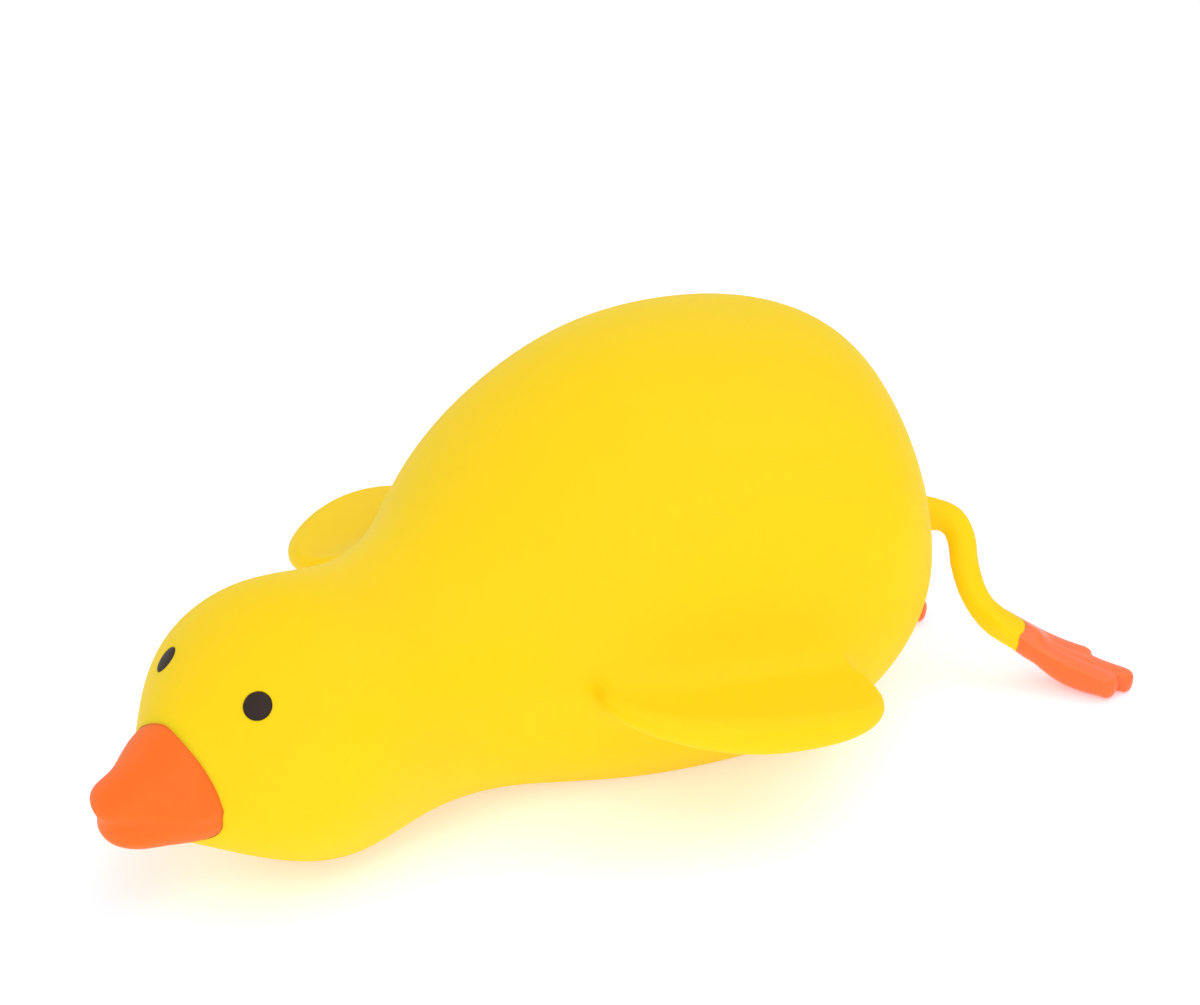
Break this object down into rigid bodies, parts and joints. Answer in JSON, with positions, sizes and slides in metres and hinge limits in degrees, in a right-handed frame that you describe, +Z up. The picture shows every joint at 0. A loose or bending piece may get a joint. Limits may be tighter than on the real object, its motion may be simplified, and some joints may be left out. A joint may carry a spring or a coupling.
{
  "type": "squishy duck",
  "caption": "Soft moulded duck lying flat on its belly, with an inset bill, flush eyes, petal wings and legs that trail behind with webbed feet.",
  "frame": {"origin": "on the flat underside, below the middle of the belly", "axes": "+Y from the bill to the tail, +Z up, +X to the duck's left"},
  "size_m": [0.1506, 0.2222, 0.0835],
  "materials": {
    "yellow_skin": "soft matte silicone",
    "orange_bill": "soft matte silicone",
    "orange_foot": "soft matte silicone",
    "dark_eye": "matte"
  },
  "bodies": {
    "root": {"body": "yellow_skin", "bill": "orange_bill", "left_eye": "dark_eye", "right_eye": "dark_eye", "left_foot": "orange_foot", "right_foot": "orange_foot"}
  },
  "joints": []
}
